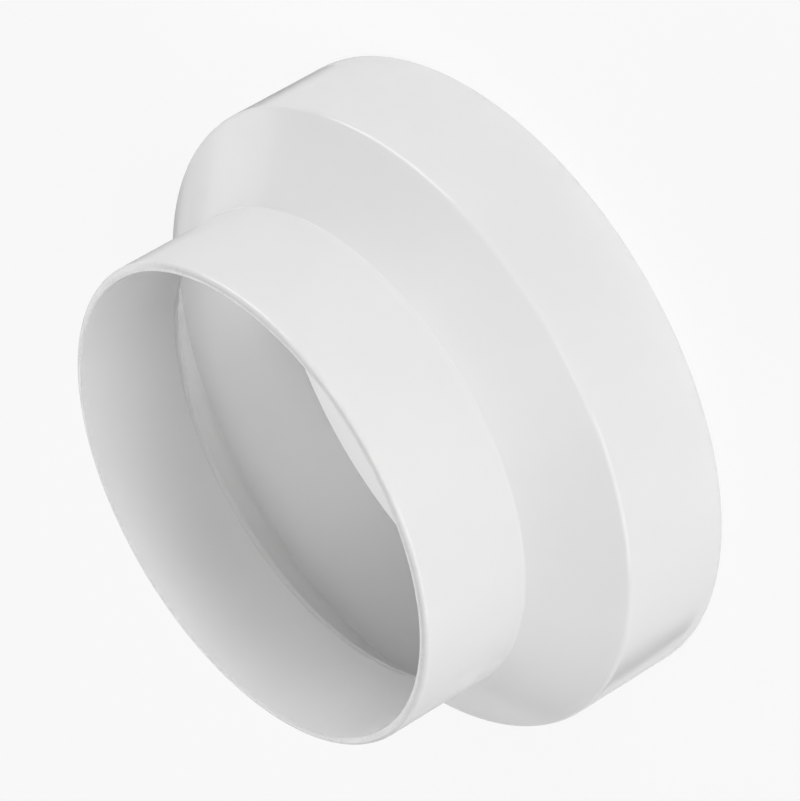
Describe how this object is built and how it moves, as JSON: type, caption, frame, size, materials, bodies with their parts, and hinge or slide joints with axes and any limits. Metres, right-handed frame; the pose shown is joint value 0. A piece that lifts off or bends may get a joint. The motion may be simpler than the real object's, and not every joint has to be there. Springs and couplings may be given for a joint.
{
  "type": "duct reducer",
  "caption": "White moulded round duct reducer: a wide socket collar, a conical shoulder and a narrower spigot, open right through, for joining a larger air duct to a smaller one.",
  "frame": {"origin": "centre of the collar's rim, on the plane that the part stands on", "axes": "+Z along the duct's axis, from the wide collar up to the spigot's mouth; X and Y are any two directions square to it, because the part is the same all round"},
  "size_m": [0.1292, 0.1292, 0.0594],
  "materials": {
    "white_plastic": "smooth semi-gloss moulded white"
  },
  "bodies": {
    "root": {"reducer_body": "white_plastic"}
  },
  "joints": []
}
